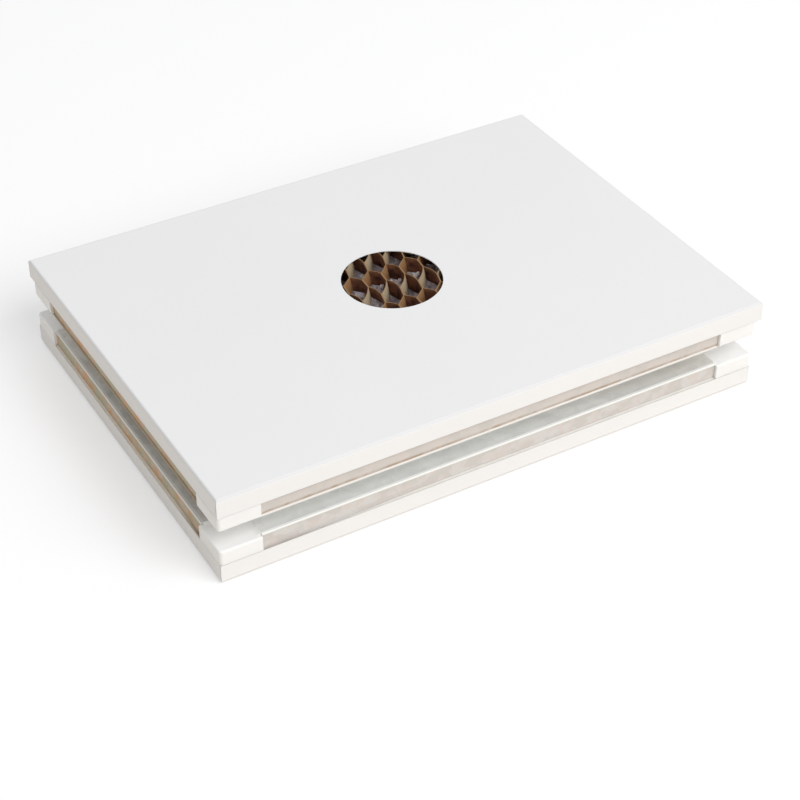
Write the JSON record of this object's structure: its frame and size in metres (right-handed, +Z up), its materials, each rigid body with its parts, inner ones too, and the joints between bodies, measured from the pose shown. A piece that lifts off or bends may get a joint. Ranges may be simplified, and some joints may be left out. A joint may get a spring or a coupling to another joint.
{
  "type": "paper honeycomb wall panel sample",
  "caption": "Sandwich panel sample: white steel skins on grooved keels and corner blocks, with a paper honeycomb core seen through a round window.",
  "frame": {"origin": "middle of the footprint of the whole panel, on the surface that it lies on", "axes": "+X along the long side towards the end where the top skin stands out, +Y from the front side to the back, +Z up through the panel's thickness"},
  "size_m": [0.312, 0.2272, 0.05],
  "materials": {
    "coated_steel": "smooth satin polyester coat on steel sheet",
    "galvanised_steel": "dull galvanised strip, stained brown in places",
    "moulded_plastic": "smooth moulded white plastic",
    "kraft_paper": "stiff brown kraft paper"
  },
  "bodies": {
    "root": {"top_skin": "coated_steel", "bottom_skin": "coated_steel", "keel_front": "galvanised_steel", "keel_right": "galvanised_steel", "keel_back": "galvanised_steel", "keel_left": "galvanised_steel", "corner_block_front_left": "moulded_plastic", "corner_block_front_right": "moulded_plastic", "corner_block_back_right": "moulded_plastic", "corner_block_back_left": "moulded_plastic", "honeycomb_core": "kraft_paper"}
  },
  "joints": []
}
